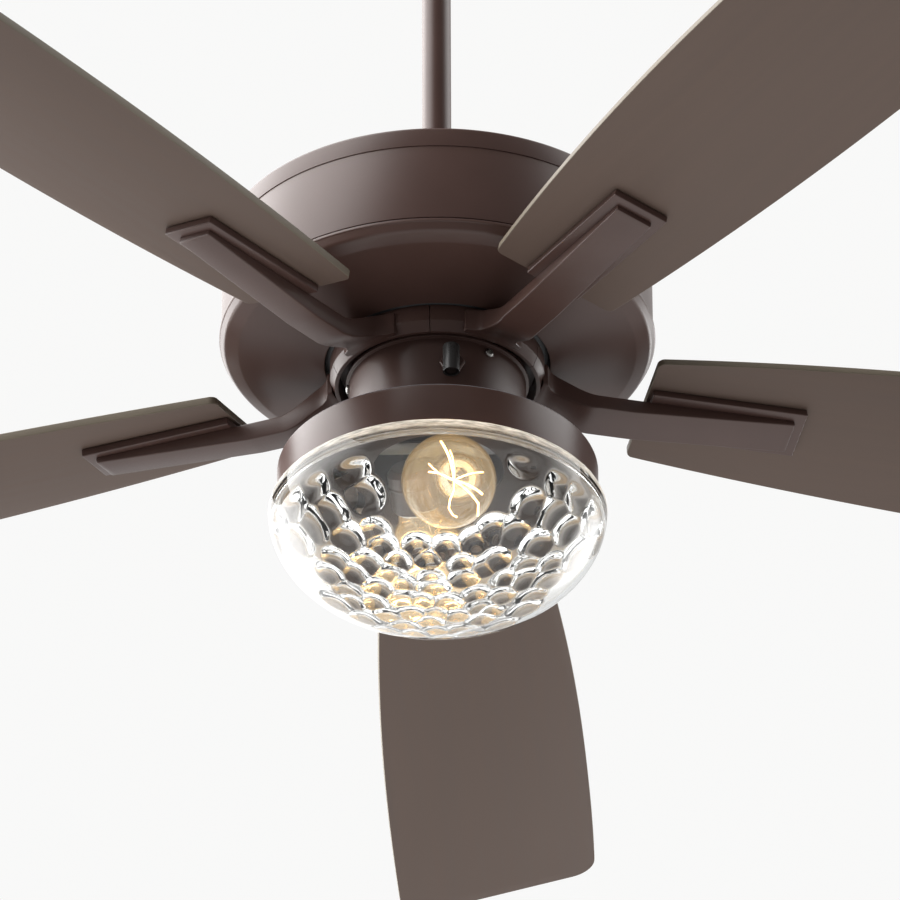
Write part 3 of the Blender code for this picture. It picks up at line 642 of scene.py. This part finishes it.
def blade_outline(samples=36):
    """The blade's outline in its own plane, its corners rounded: x out from the axis, y across."""
    span = TIP_R - ROOT_R
    stations = [0.03 + 0.92 * i / (samples - 1) for i in range(samples)]
    low_y, high_y = edge_half_width(1, LOW_EDGE), -edge_half_width(1, HIGH_EDGE)
    middle = (low_y + high_y) / 2
    corners = [
        (ROOT_R, edge_half_width(0, LOW_EDGE), ROOT_CORNER),
        (ROOT_R, -edge_half_width(0, HIGH_EDGE), ROOT_CORNER),
    ]
    corners += [(ROOT_R + span * s, -edge_half_width(s, HIGH_EDGE), 0) for s in stations]
    corners += [(TIP_R + TIP_SKEW * (y - middle), y, TIP_CORNER) for y in (high_y, low_y)]
    corners += [(ROOT_R + span * s, edge_half_width(s, LOW_EDGE), 0) for s in reversed(stations)]
    return rounded(corners, 10, True, 1)


def inward(points, distance):
    """A closed outline moved in by a distance."""
    moved = []
    for i, point in enumerate(points):
        along = (Vector(points[(i + 1) % len(points)]) - Vector(points[i - 1])).normalized()
        moved.append(tuple(Vector(point) - distance * Vector((along.y, -along.x))))
    return moved


def blade_shell():
    """A flat board with eased edges, and how far each vertex belongs to the banded edge."""
    outline = blade_outline()
    area = sum(a[0] * b[1] - b[0] * a[1] for a, b in zip(outline, outline[1:] + outline[:1]))
    sign = 1 if area > 0 else -1
    edge, rows = 0.5 * MM, []
    for angle in range(0, 181, 30):
        a = math.radians(90 - angle)
        height = BLADE_T / 2 - edge if angle <= 90 else edge - BLADE_T / 2
        inset = edge * (1 - math.cos(a))
        rows.append([Vector((x, y, height + edge * math.sin(a))) for x, y in inward(outline, sign * inset)])
        if angle == 90:
            rows.append([Vector((x, y, edge - BLADE_T / 2)) for x, y in outline])
    shades = [0.0 if k in (0, len(rows) - 1) else 1.0 for k in range(len(rows)) for _ in outline]
    return loft(rows), shades


def blades():
    """Five irons with their blades, and the screws that hold a blade from above."""
    (blade, shades), arm, ring = blade_shell(), arm_shell(), ring_shell()
    pad = rounded_box((PAD_START, -PAD_HALF, -PAD_T), (PAD_END, PAD_HALF, -GAP), 0.8 * MM)
    screw = screw_mesh(4.6 * MM, 2.2 * MM, 2.2 * MM, 3 * MM)
    washer = turned(rounded([(2.4, 0.9, 0.1), (7.5, 0.9, 0.3), (7.5, 0, 0), (2.4, 0, 0)]), SMALL)
    for number in range(1, BLADES + 1):
        turn = Matrix.Rotation(BLADE_PHASE + 2 * math.pi * (number - 1) / BLADES, 4, "Z")
        pitched = turn @ Matrix.Rotation(PITCH, 4, "X")
        board = Shape().add(blade)
        made = piece(
            f"blade_board_{number}", board, BLADE, "rotor", [f"blade_{number}"],
            FAN @ pitched @ Matrix.Translation((0, 0, BLADE_T / 2)),
        )
        places = [vert + Vector((number, number, 0)) for vert in board.verts]
        store(made, "blade_place", "FLOAT_VECTOR", places)
        store(made, "blade_edge", "FLOAT", shades)
        iron = Shape().add(ring).add(arm).add(pad, Matrix.Rotation(PITCH, 4, "X"))
        piece(
            f"cast_iron_{number}", iron, BRONZE, "rotor", [f"blade_iron_{number}"],
            FAN @ turn, 38,
        )
        screws = Shape()
        for x, y in ((158, 0), (222, -12), (222, 12)):
            top = Matrix.Translation((x * MM, y * MM, BLADE_T))
            screws.add(washer, top).add(screw, top @ Matrix.Translation((0, 0, 0.9 * MM)))
        piece(f"blade_screws_{number}", screws, STEEL, "rotor", (), FAN @ pitched)


# ---------------------------------------------------------------- switch housing and pull

def switch_housing():
    """The fixed housing under the irons, its screws, and the pull's outlet."""
    shell = rounded([
        (55.8, -0.8, 0.3), (58.9, -0.8, 0.6), (58.9, -3.0, 0.6), (57, -3.6, 0.3), (57, -66.4, 2.4),
        (46, -66.4, 0.4), (46, -65.2, 0.4), (55.8, -65.2, 1.4),
    ])
    piece("switch_shell", Shape().add(turned(shell)), BRONZE, "stem", ["switch_housing"], FAN)
    head = screw_mesh(3 * MM, 1.6 * MM, 1.5 * MM, 5 * MM)
    for number, azimuth in enumerate(SCREW_AZIMUTHS, 1):
        shape = Shape().add(head, facing(polar(57.4 * MM, azimuth, SCREW_Z), polar(1, azimuth, 0)))
        piece(
            f"housing_cross_screw_{number}", shape, STEEL, "stem", [f"housing_screw_{number}"],
            FAN,
        )

    out = Vector((math.sin(PULL_HEADING), -math.cos(PULL_HEADING), 0))

    def outlet(distance):
        return Vector((PULL_X, 0, PULL_Z)) + out * distance * MM

    nut_r, nut_depth, chamfer = 8.2, 3.4, 0.6
    nut = []
    for depth, grow in ((0, -chamfer), (chamfer, 0), (nut_depth - chamfer, 0), (nut_depth, -chamfer)):
        reach = (nut_r + grow) * MM
        corners = [math.radians(60 * k) for k in range(6)]
        nut.append([Vector((reach * math.cos(a), reach * math.sin(a), depth * MM)) for a in corners])
    shape = Shape().add(loft(nut), facing(outlet(58), out))
    piece("outlet_nut", shape, BRONZE, "stem", ["pull_nut"], FAN, 25)
    thread = [(0, 17.7)]
    for k in range(17):
        thread += [(3.4, 17.5 - k), (3.0, 17.0 - k)]
    thread += [(3.4, 0), (0, 0)]
    shape = Shape().add(turned(millimetres(thread), SMALL, False), facing(outlet(46.3), out))
    piece("outlet_thread", shape, STEEL, "stem", ["pull_nozzle"], FAN)

    axis = Matrix.Translation(outlet(GUIDE_DISTANCE / MM) - Vector((0, 0, PULL_Z)))
    guide = rounded([
        (0, -17.6, 0), (5.4, -17.6, 1.1), (5.4, -37.7, 0.4), (4.4, -37.7, 0.4), (4.4, -21, 1.5), (0, -21, 0),
    ], 8, False)
    boss = rounded([(0, 0, 0), (4.8, 0, 0.6), (4.8, 4.6, 0), (0, 4.6, 0)], 5, False)
    shape = Shape().add(turned(guide, 56, False), axis)
    shape.add(turned(boss, 48, False), facing(outlet(61.7), out))
    piece("outlet_elbow", shape, BLACK, "stem", ["pull_guide"], FAN)
    plug = rounded([
        (0, -23.2, 0), (3.4, -23.2, 0.8), (3.4, -34.6, 0.2), (3.1, -34.9, 0.15), (3.1, -35.3, 0.15),
        (3.4, -35.6, 0.2), (3.4, -36.9, 0.7), (0, -36.9, 0),
    ], 5, False)
    shape = Shape().add(turned(plug, 56, False), axis)
    piece("pull_plug", shape, BLACK, "pull_tip", ["pull_tip"], FAN)
    knob = Shape()
    knob.add(rounded_box((-5.5 * MM, 53.9 * MM, -31.5 * MM), (-0.5 * MM, 59 * MM, -28.5 * MM), 0.4 * MM))
    rib_half = 0.35 * MM
    for k in range(3):
        x = (-4.4 + 1.4 * k) * MM
        low, high = (x - rib_half, 58 * MM, -31.3 * MM), (x + rib_half, 60 * MM, -28.7 * MM)
        knob.add(rounded_box(low, high, 0.25 * MM, 2))
    piece("reverse_button", knob, BLACK, "reverse_knob", ["reverse_knob"], FAN)


# ---------------------------------------------------------------- lamp kit

def lamp_matrix(number):
    """A lamp's frame: the base's tip at the origin, its globe along -Z."""
    half_turn = Matrix.Rotation(math.pi * (number - 1), 3, "Z")
    tip, centre = half_turn @ LAMP_TIP, half_turn @ LAMP_CENTRE
    return facing(tip, tip - centre), (centre - tip).length


def lamp(number):
    """A screw lamp: holder, threaded cap, clear globe, glass stem, support wires and a fan of filaments."""
    local, reach = lamp_matrix(number)
    at = FAN @ local
    holder = rounded([
        (0, 6, 0), (12, 6, 1), (15.4, 2.6, 1.2), (15.4, -5, 0.3), (16.2, -6, 0.6), (15.4, -7, 0.3),
        (15.4, -23, 0.7), (13.8, -23, 0.5), (13.8, 1, 0.8), (0, 1, 0),
    ], 5, False)
    piece(
        f"lamp_holder_{number}", Shape().add(turned(holder, MEDIUM, False)), HOLDER, "stem",
        [f"lamp_socket_{number}"], at,
    )
    cap = [(0, 0), (3.4, -0.2), (4.6, -1.0), (5, -2), (7, -3), (12.4, -5)]
    for k in range(6):
        cap += [(13.1, -7 - 2.8 * k), (12.1, -8.4 - 2.8 * k)]
    cap += [(13.0, -24.2), (12.6, -25), (0, -25)]
    shape = Shape().add(turned(millimetres(cap), MEDIUM, False))
    piece(f"lamp_cap_{number}", shape, STEEL, "stem", [f"lamp_base_{number}"], at)
    globe, radius, wall = -reach / MM, LAMP_R / MM, 0.9
    neck = [(12.5, -25.3), (12.6, -28), (13.4, -31.5), (15.6, -35)]
    outside = neck + arc(0, globe, radius, radius, 55, -84, 40) + [(0, globe - radius)]
    inside = [(0, globe - radius + wall)] + arc(0, globe, radius - wall, radius - wall, -84, 55, 40)
    inside += [(r - wall, z) for r, z in reversed(neck)]
    shape = Shape().add(turned(millimetres(inside + outside), 96, False))
    piece(f"lamp_globe_{number}", shape, LAMP_GLASS, "stem", [f"lamp_glass_{number}"], at)

    stem_profile = [
        (0, -26), (7, -26), (6, -30), (3.6, -34), (2, -38), (1.8, -50), (2.6, -51.5), (2, -53), (0, -53.4),
    ]
    shape = Shape().add(turned(millimetres(stem_profile), SMALL, False))
    piece(f"lamp_stem_{number}", shape, STEM_GLASS, "stem", (), at)
    ends = ((2.8, 25.8, 3), (11.2, 12.5, -3), (13, 6.9, 4), (-20.8, -10.4, -4), (-3.5, 19.3, -4), (-22, 3, 4))
    glow, wires = Shape(), Shape()
    hub = Vector((-3.4, -0.1, globe - 1))
    for index, (x, y, lift) in enumerate(ends):
        end = Vector((x, y, globe + lift))
        support = Vector((x * 0.1, y * 0.1, -54)), end * 0.7 + Vector((0, 0, 3)), end
        wires.add(tube([point * MM for point in support], 0.2 * MM, 8))
        sag = (end - hub).cross(Vector((0, 0, 1))) * (0.07 if index % 2 else -0.07)
        bend = [(hub.lerp(end, t) + sag * 4 * t * (1 - t)) * MM for t in [k / 8 for k in range(9)]]
        glow.add(tube(bend, (0.75 if index in (0, 3) else 0.5) * MM, 8))
    hooks = (
        (hub, (-8, -4, globe), (-13, -10, globe + 2), (-16.5, -16, globe + 3), (-15.5, -24.6, globe + 3)),
        (
            hub, (-2.5, -6, globe), (0.5, -12, globe - 1), (1.6, -17, globe - 2), (-0.5, -21.5, globe - 2),
            (-3, -23, globe - 2),
        ),
    )
    for hook, thick in zip(hooks, (0.7, 0.55)):
        glow.add(tube([Vector(p) * MM for p in hook], thick * MM, 8))
    piece(f"lamp_supports_{number}", wires, STEEL, "stem", (), at)
    piece(f"lamp_filaments_{number}", glow, FILAMENT, "stem", (), at)


def bowl_point(angle, turn, inset=0.0):
    """A point on the bowl's outer face, or set in along its normal: angle below the rim, turn round Z."""
    r, z = BOWL_R * math.cos(angle), BOWL_DEPTH * math.sin(angle)
    normal = Vector((r / BOWL_R**2, z / BOWL_DEPTH**2)).normalized()
    r, z = r - normal.x * inset, z - normal.y * inset
    return Vector((r * math.cos(turn), r * math.sin(turn), BOWL_CENTRE + z))


def in_pane(angle, turn):
    """Whether a place lies in one of the panes left smooth under the rim, one of them at the front."""
    aside = abs((turn - PANE_TURN + PANE_STEP / 2) % PANE_STEP - PANE_STEP / 2)
    return angle > PANE_LOW and aside < PANE_HALF


def bubble_centres():
    """Rows of bubbles round the bowl, wide near the rim, closer and smaller towards the bottom."""
    random.seed(11)
    centres, row = [], 0
    first, last = math.radians(-17), math.radians(-88)
    angle = first
    while angle > last:
        along = (angle - first) / (last - first)
        spacing = 25 * MM - 7 * MM * min(along * 1.6, 1.0)
        count = max(1, round(2 * math.pi * BOWL_R * math.cos(angle) / spacing))
        for k in range(count):
            turn = 2 * math.pi * (k + 0.5 * (row % 2) + random.uniform(-0.21, 0.21)) / count
            lift = angle + math.radians(random.uniform(-3.2, 3.2))
            strength, reach = random.uniform(0.75, 1.15), spacing * random.uniform(0.52, 0.68)
            if not in_pane(lift, turn):
                centres.append((bowl_point(lift, turn), strength, reach))
        angle -= 0.86 * spacing / math.hypot(BOWL_R * math.sin(angle), BOWL_DEPTH * math.cos(angle))
        row += 1
    return centres


def glass_bowl():
    """The hammered bowl: smooth outside, with a round lip, and bubbles that bulge from its inner face."""
    outside = millimetres([
        (98.4, -86), (99, -86.6), (99, -94.7), (99.4, -95.1),
        (101.8, -95.3), (104.2, -95.7), (105.9, -96.5), (107, -97.6),
    ])
    outside += arc(0, BOWL_CENTRE, BOWL_R, BOWL_DEPTH, -1, -89.4, 60) + [(0, BOWL_CENTRE - BOWL_DEPTH)]
    rim = millimetres([
        (103.6, -106.6), (102.6, -104.8), (101.2, -103.4), (99.6, -102.2), (98.2, -100.6), (97.2, -98.4),
        (96.2, -96.4), (95.4, -94), (95, -91), (95, -86.6), (95.6, -86),
    ])
    steps, first, last = 104, math.radians(-7.5), math.radians(-89.6)
    centres = bubble_centres()
    tree = KDTree(len(centres))
    for index, (centre, _, _) in enumerate(centres):
        tree.insert(centre, index)
    tree.balance()
    thin, height, facets = 2.6 * MM, 6.6 * MM, 400
    verts, faces = turned(outside, facets, False)
    start = len(verts)
    angles = [last + (first - last) * k / steps for k in range(steps + 1)]
    verts.append(bowl_point(math.radians(-90), 0, thin + height * 0.5))
    for angle in angles:
        fade = smoothstep(-angle, math.radians(9), math.radians(20))
        for k in range(facets):
            turn = 2 * math.pi * k / facets
            point = bowl_point(angle, turn)
            rise = 0.0
            for _, index, distance in tree.find_n(point, 3):
                _, strength, reach = centres[index]
                rise = max(rise, strength * (1 - (distance / reach) ** 2))
            verts.append(bowl_point(angle, turn, thin + height * fade * rise))
    for r, z in rim:
        verts += circle(r, z, facets)
    rings = [[start + 1 + row * facets + k for k in range(facets)] for row in range(len(angles) + len(rim))]
    faces += [(start, rings[0][k], rings[0][(k + 1) % facets]) for k in range(facets)]
    rings.append(list(range(facets)))
    for lower, upper in zip(rings, rings[1:]):
        faces += [
            (lower[k], lower[(k + 1) % facets], upper[(k + 1) % facets], upper[k]) for k in range(facets)
        ]
    lip_r, lip_low, lip_high = 101.5 * MM, -103.6 * MM, -101.8 * MM
    rims = [smoothstep(z, lip_low, lip_high) * (math.hypot(x, y) > lip_r) for x, y, z in verts]
    shape = Shape().add((verts, faces))
    for index in range(3):
        turn = Matrix.Rotation(2 * math.pi * index / 3 + math.radians(30), 4, "Z")
        lug = rounded_box((97.5 * MM, -7 * MM, -90.5 * MM), (100.3 * MM, 7 * MM, -87 * MM), 0.8 * MM)
        shape.add(lug, turn)
    made = piece("hammered_bowl", shape, BOWL_GLASS, "glass_bowl", ["glass_bowl"], FAN, 60)
    store(made, "ground_rim", "FLOAT", rims + [0.0] * (len(shape.verts) - len(rims)))


def lamp_kit():
    """The pan with its lined inside, darkened inwards by painted shade, the two lamps and the bowl."""
    pan = rounded([
        (42, -66.7, 0.4), (102.5, -66.7, 3.2), (102.4, -94.6, 0.4), (101.2, -94.6, 0.4), (101.3, -67.9, 2.2),
        (88, -67.9, 0), (78, -67.9, 0), (68, -67.9, 0), (42, -67.9, 0.4),
    ], 6)
    shape = Shape().add(turned(pan))
    made = piece("lamp_pan_shell", shape, BRONZE, "stem", ["lamp_pan"], FAN)
    inner = [r < 101.75 * MM and z < -67.3 * MM for r, z in pan]
    # lining share: 0.5 (grey zinc) out at the skirt, rising to 1 inwards, where the colour is painted shade
    lined_and_shaded = [
        (0.5 + 0.5 * smoothstep(-r, -92 * MM, -70 * MM)) * within
        for (r, z), within in zip(pan, inner) for _ in range(ROUND)
    ]
    store(made, "lining_and_shade", "FLOAT", lined_and_shaded)
    for number in (1, 2):
        lamp(number)
    glass_bowl()


# ---------------------------------------------------------------- setting

def compass(azimuth, elevation):
    """A direction from an azimuth counted from -Y towards +X, and a height above the horizon, in degrees."""
    a, e = math.radians(azimuth), math.radians(elevation)
    return Vector((math.sin(a) * math.cos(e), -math.cos(a) * math.cos(e), math.sin(e)))


# Soft lights far round the fan: azimuth, elevation, half angles of the even part and the whole, strength
SOFTBOXES = {
    "left": (-84, 36, 20, 52, 5.2),
    "left_back": (-135, 22, 10, 50, 2.2),
    "left_low": (-131, -6, 8, 28, 5.6),
    "right": (98, 34, 6, 34, 2.8),
    "right_low": (138, -2, 5, 22, 6.0),
    "below": (0, -90, 25, 62, 0.68),
}
FRONT_LIGHT, BACK_LIGHT = 0.20, 0.75
FLOOR_Z, FLOOR_R = -4.3, 60

# The photo's camera: lens and sensor in millimetres, its place from the blades' axis in metres, its turns
LENS, SENSOR, CAMERA_BACK, CAMERA_DROP = 367.7, 36.0, 4.9448, 3.2206
CAMERA_TILT, CAMERA_YAW, CAMERA_ROLL = 0.5699, -0.0016, -0.0037


def surround():
    """A white surround that lights the fan softly: dim in front, brighter behind, with softboxes."""
    world = bpy.data.worlds.new("white_surround")
    world.use_nodes = True
    tree = world.node_tree
    background = tree.nodes["Background"]
    background.inputs["Color"].default_value = (0.945, 0.945, 0.94, 1)
    direction = tree.nodes.new("ShaderNodeTexCoord").outputs["Generated"]
    axes = tree.nodes.new("ShaderNodeSeparateXYZ")
    link(tree, direction, axes.inputs[0])
    total = spread(tree, axes.outputs["Y"], FRONT_LIGHT, BACK_LIGHT, -0.4, 0.4)
    for azimuth, elevation, inner, outer, strength in SOFTBOXES.values():
        towards = tree.nodes.new("ShaderNodeVectorMath")
        towards.operation = "DOT_PRODUCT"
        link(tree, direction, towards.inputs[0])
        towards.inputs[1].default_value = compass(azimuth, elevation)
        edge, core = math.cos(math.radians(outer)), math.cos(math.radians(inner))
        glow = tree.nodes.new("ShaderNodeMapRange")
        glow.interpolation_type = "SMOOTHSTEP"
        for name, number in (("From Min", edge), ("From Max", core), ("To Min", 0.0), ("To Max", strength)):
            glow.inputs[name].default_value = number
        link(tree, towards.outputs["Value"], glow.inputs["Value"])
        added = tree.nodes.new("ShaderNodeMath")
        added.operation = "ADD"
        link(tree, total, added.inputs[0])
        link(tree, glow.outputs["Result"], added.inputs[1])
        total = added.outputs[0]
    paths = tree.nodes.new("ShaderNodeLightPath")
    seen = tree.nodes.new("ShaderNodeMath")
    seen.operation = "MAXIMUM"
    link(tree, paths.outputs["Is Camera Ray"], seen.inputs[0])
    link(tree, paths.outputs["Is Transmission Ray"], seen.inputs[1])
    bounced = tree.nodes.new("ShaderNodeMath")
    bounced.operation = "LESS_THAN"
    link(tree, paths.outputs["Diffuse Depth"], bounced.inputs[0])
    bounced.inputs[1].default_value = 0.5
    direct = tree.nodes.new("ShaderNodeMath")
    direct.operation = "MULTIPLY"
    link(tree, seen.outputs[0], direct.inputs[0])
    link(tree, bounced.outputs[0], direct.inputs[1])
    strength = tree.nodes.new("ShaderNodeMix")
    strength.data_type = "FLOAT"
    link(tree, direct.outputs[0], strength.inputs[0])
    link(tree, total, strength.inputs[2])
    strength.inputs[3].default_value = 1.0
    link(tree, strength.outputs[0], background.inputs["Strength"])
    bpy.context.scene.world = world


def studio():
    """A pale floor, a white surround, the light of the two lamps and the photographer's camera."""
    mesh = bpy.data.meshes.new("floor")
    form = bmesh.new()
    bmesh.ops.create_circle(form, cap_ends=True, segments=96, radius=FLOOR_R)
    form.to_mesh(mesh)
    form.free()
    floor = bpy.data.objects.new("floor", mesh)
    floor.location = (0, 0, FLOOR_Z)
    bpy.context.scene.collection.objects.link(floor)
    look, tree, shader = new_material("pale_floor")
    drift = noise(tree, place_node(tree), 0.4, 3.0)
    tone = colours(tree, drift, (0.3, (0.80, 0.80, 0.79)), (0.7, (0.83, 0.83, 0.82)))
    link(tree, tone, shader.inputs["Base Color"])
    shader.inputs["Roughness"].default_value = 0.8
    shader.inputs["Emission Color"].default_value = (0.97, 0.97, 0.96, 1)
    shader.inputs["Emission Strength"].default_value = 0.1
    see_through = tree.nodes.new("ShaderNodeBsdfTransparent")
    sided = tree.nodes.new("ShaderNodeMixShader")
    link(tree, tree.nodes.new("ShaderNodeNewGeometry").outputs["Backfacing"], sided.inputs["Fac"])
    link(tree, shader.outputs["BSDF"], sided.inputs[1])
    link(tree, see_through.outputs["BSDF"], sided.inputs[2])
    link(tree, sided.outputs["Shader"], tree.nodes["Material Output"].inputs["Surface"])
    mesh.materials.append(look)

    floor.visible_diffuse = False
    floor.visible_glossy = False
    surround()
    for number in (1, 2):
        local, reach = lamp_matrix(number)
        warm = bpy.data.lights.new(f"lamp_glow_{number}", "POINT")
        warm.energy = 0.16
        warm.color = (1.0, 0.60, 0.26)
        warm.shadow_soft_size = 0.008
        glow = bpy.data.objects.new(warm.name, warm)
        glow.location = FAN @ local @ Vector((0, 0, -reach))
        glow.visible_camera = False
        glow.visible_transmission = False
        glow.visible_glossy = False
        bpy.context.scene.collection.objects.link(glow)
        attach(glow, "stem")

    camera = bpy.data.cameras.new("camera")
    camera.lens, camera.sensor_width = LENS, SENSOR
    camera.clip_end = 200
    view = bpy.data.objects.new("camera", camera)
    turn = Matrix.Rotation(CAMERA_YAW, 4, "Z") @ Matrix.Rotation(math.pi / 2 + CAMERA_TILT, 4, "X")
    turn = turn @ Matrix.Rotation(CAMERA_ROLL, 4, "Z")
    view.matrix_world = Matrix.Translation((0, -CAMERA_BACK, PLANE - CAMERA_DROP)) @ turn
    bpy.context.scene.collection.objects.link(view)
    bpy.context.scene.camera = view
    bpy.context.scene.view_settings.view_transform = "Standard"


def dress_cad_nodes():
    """The CAD nodes that stay get the procedural material of their slot."""
    slots = {part["node"]: part["material_slot"] for part in frame["record"]["subparts"]}
    for name, node in frame["nodes"].items():
        look = LAMINATIONS if name in ("stator_core", "rotor_cage") else SLOT_LOOKS[slots[name]]
        node.data.materials.clear()
        node.data.materials.append(look)


ceiling_hanger()
stem()
motor_housing()
blades()
switch_housing()
lamp_kit()
dress_cad_nodes()
studio()
